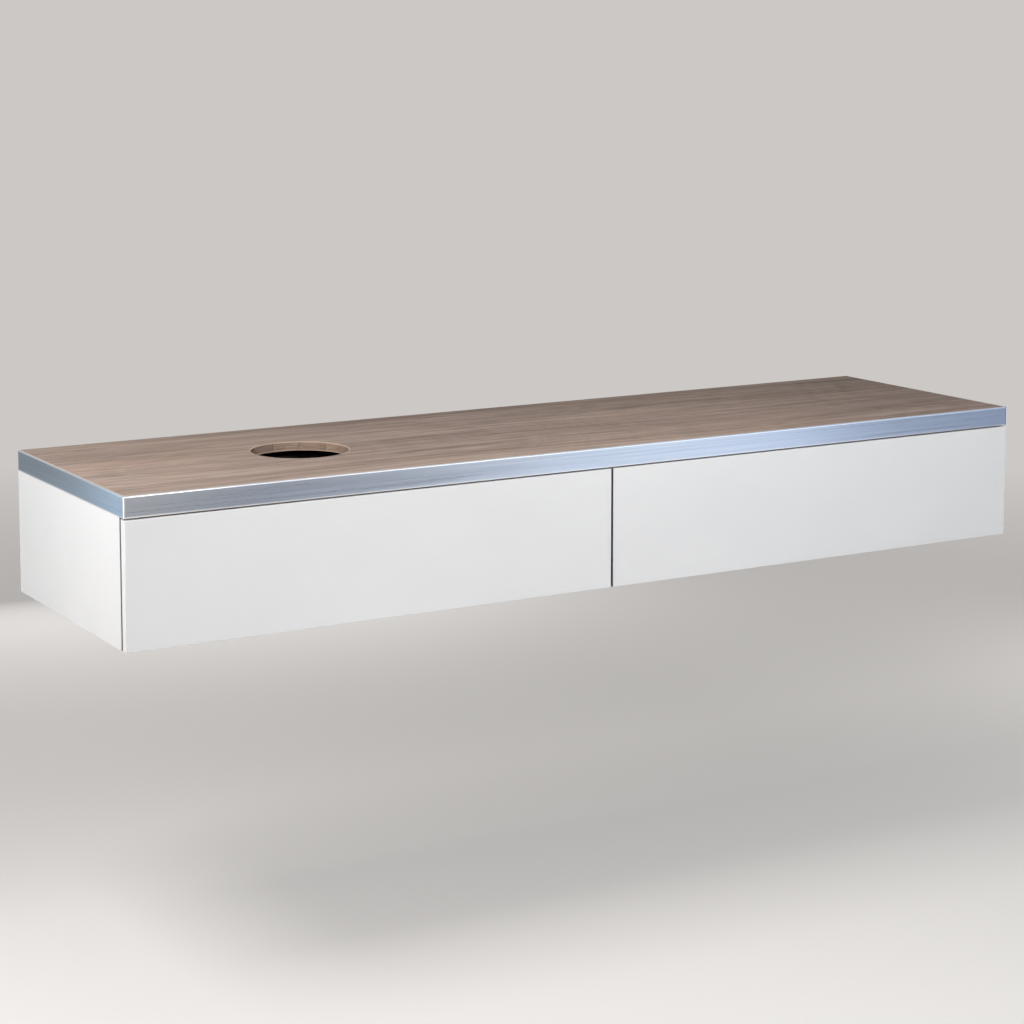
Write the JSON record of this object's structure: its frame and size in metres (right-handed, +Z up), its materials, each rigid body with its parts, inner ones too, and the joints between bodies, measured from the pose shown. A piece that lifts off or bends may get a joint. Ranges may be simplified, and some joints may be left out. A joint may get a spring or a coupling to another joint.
{
  "type": "vanity console",
  "caption": "Wall-hung vanity console with a wood decor top, an aluminium band, a round basin cut-out and push-to-open drawers on full-extension slides.",
  "frame": {"origin": "middle of the wall rail's line of screw holes, on the wall's face", "axes": "+X to the right along the front, +Y into the wall, +Z up; the drawers open towards -Y"},
  "size_m": [1.8, 0.49, 0.248],
  "materials": {
    "wood_decor": "brown-grey oak decor with a fine matt grain along the width",
    "wood_edging": "pale wood edging with fine upright grain",
    "brushed_band": "aluminium brushed along its length, satin",
    "core_board": "raw pressed wood core",
    "white_lacquer": "white satin lacquer on board",
    "dark_melamine": "anthracite melamine on board",
    "zinc_steel": "zinc-plated steel",
    "slide_steel": "zinc-plated rolled steel",
    "bearing_steel": "polished bearing steel",
    "pale_plastic": "moulded light grey plastic",
    "dark_plastic": "moulded dark grey plastic"
  },
  "bodies": {
    "console": {"top_board": "wood_decor", "cutout_lining": "wood_edging", "front_band": "brushed_band", "left_band": "brushed_band", "right_band": "brushed_band", "front_strip": "core_board", "left_strip": "core_board", "right_strip": "core_board", "rear_strip": "core_board", "left_side_panel": "white_lacquer", "right_side_panel": "white_lacquer", "centre_partition": "dark_melamine", "bottom_panel": "dark_melamine", "back_panel": "dark_melamine", "front_rail": "dark_melamine", "rear_rail": "dark_melamine", "wall_rail": "zinc_steel", "hanger_housings": "pale_plastic", "hanger_hooks": "zinc_steel", "hanger_screws": "zinc_steel", "top_screws": "zinc_steel", "cam_fittings": "zinc_steel", "slide_screws": "zinc_steel", "latch_housings": "dark_plastic", "left_drawer_left_slide_base": "slide_steel", "left_drawer_right_slide_base": "slide_steel", "right_drawer_left_slide_base": "slide_steel", "right_drawer_right_slide_base": "slide_steel"},
    "left_drawer": {"left_drawer_front": "white_lacquer", "left_drawer_inner_front": "dark_melamine", "left_drawer_left_side": "dark_melamine", "left_drawer_right_side": "dark_melamine", "left_drawer_back": "dark_melamine", "left_drawer_bottom": "dark_melamine", "trap_surround": "dark_plastic", "left_front_screws": "zinc_steel", "left_drawer_left_slide_runner": "slide_steel", "left_drawer_right_slide_runner": "slide_steel"},
    "left_slide_middles": {"left_drawer_left_slide_middle": "slide_steel", "left_drawer_right_slide_middle": "slide_steel"},
    "left_outer_cages": {"left_drawer_outer_ball_cages": "bearing_steel"},
    "left_inner_cages": {"left_drawer_inner_ball_cages": "bearing_steel"},
    "left_drawer_left_plunger": {"left_drawer_left_plunger": "pale_plastic"},
    "left_drawer_right_plunger": {"left_drawer_right_plunger": "pale_plastic"},
    "right_drawer": {"right_drawer_front": "white_lacquer", "right_drawer_inner_front": "dark_melamine", "right_drawer_left_side": "dark_melamine", "right_drawer_right_side": "dark_melamine", "right_drawer_back": "dark_melamine", "right_drawer_bottom": "dark_melamine", "right_front_screws": "zinc_steel", "right_drawer_left_slide_runner": "slide_steel", "right_drawer_right_slide_runner": "slide_steel"},
    "right_slide_middles": {"right_drawer_left_slide_middle": "slide_steel", "right_drawer_right_slide_middle": "slide_steel"},
    "right_outer_cages": {"right_drawer_outer_ball_cages": "bearing_steel"},
    "right_inner_cages": {"right_drawer_inner_ball_cages": "bearing_steel"},
    "right_drawer_left_plunger": {"right_drawer_left_plunger": "pale_plastic"},
    "right_drawer_right_plunger": {"right_drawer_right_plunger": "pale_plastic"}
  },
  "joints": [
    {"name": "left_drawer_slide", "type": "slide", "parent": "console", "child": "left_drawer", "axis": [0, -1, 0], "range_m": [0, 0.39]},
    {"name": "left_slide_middles_run", "type": "slide", "parent": "console", "child": "left_slide_middles", "axis": [0, -1, 0], "range_m": [0, 0.195]},
    {"name": "left_outer_cages_roll", "type": "slide", "parent": "console", "child": "left_outer_cages", "axis": [0, -1, 0], "range_m": [0, 0.0975]},
    {"name": "left_inner_cages_roll", "type": "slide", "parent": "console", "child": "left_inner_cages", "axis": [0, -1, 0], "range_m": [0, 0.2925]},
    {"name": "left_drawer_left_plunger_press", "type": "slide", "parent": "console", "child": "left_drawer_left_plunger", "axis": [0, -1, 0], "range_m": [-0.004, 0], "stiffness_N_per_m": 400, "springref_m": 0.01},
    {"name": "left_drawer_right_plunger_press", "type": "slide", "parent": "console", "child": "left_drawer_right_plunger", "axis": [0, -1, 0], "range_m": [-0.004, 0], "stiffness_N_per_m": 400, "springref_m": 0.01},
    {"name": "right_drawer_slide", "type": "slide", "parent": "console", "child": "right_drawer", "axis": [0, -1, 0], "range_m": [0, 0.39]},
    {"name": "right_slide_middles_run", "type": "slide", "parent": "console", "child": "right_slide_middles", "axis": [0, -1, 0], "range_m": [0, 0.195]},
    {"name": "right_outer_cages_roll", "type": "slide", "parent": "console", "child": "right_outer_cages", "axis": [0, -1, 0], "range_m": [0, 0.0975]},
    {"name": "right_inner_cages_roll", "type": "slide", "parent": "console", "child": "right_inner_cages", "axis": [0, -1, 0], "range_m": [0, 0.2925]},
    {"name": "right_drawer_left_plunger_press", "type": "slide", "parent": "console", "child": "right_drawer_left_plunger", "axis": [0, -1, 0], "range_m": [-0.004, 0], "stiffness_N_per_m": 400, "springref_m": 0.01},
    {"name": "right_drawer_right_plunger_press", "type": "slide", "parent": "console", "child": "right_drawer_right_plunger", "axis": [0, -1, 0], "range_m": [-0.004, 0], "stiffness_N_per_m": 400, "springref_m": 0.01}
  ],
  "couplings": [
    {"joint": "left_slide_middles_run", "follows": "left_drawer_slide", "ratio": 0.5},
    {"joint": "left_outer_cages_roll", "follows": "left_drawer_slide", "ratio": 0.25},
    {"joint": "left_inner_cages_roll", "follows": "left_drawer_slide", "ratio": 0.75},
    {"joint": "right_slide_middles_run", "follows": "right_drawer_slide", "ratio": 0.5},
    {"joint": "right_outer_cages_roll", "follows": "right_drawer_slide", "ratio": 0.25},
    {"joint": "right_inner_cages_roll", "follows": "right_drawer_slide", "ratio": 0.75}
  ]
}
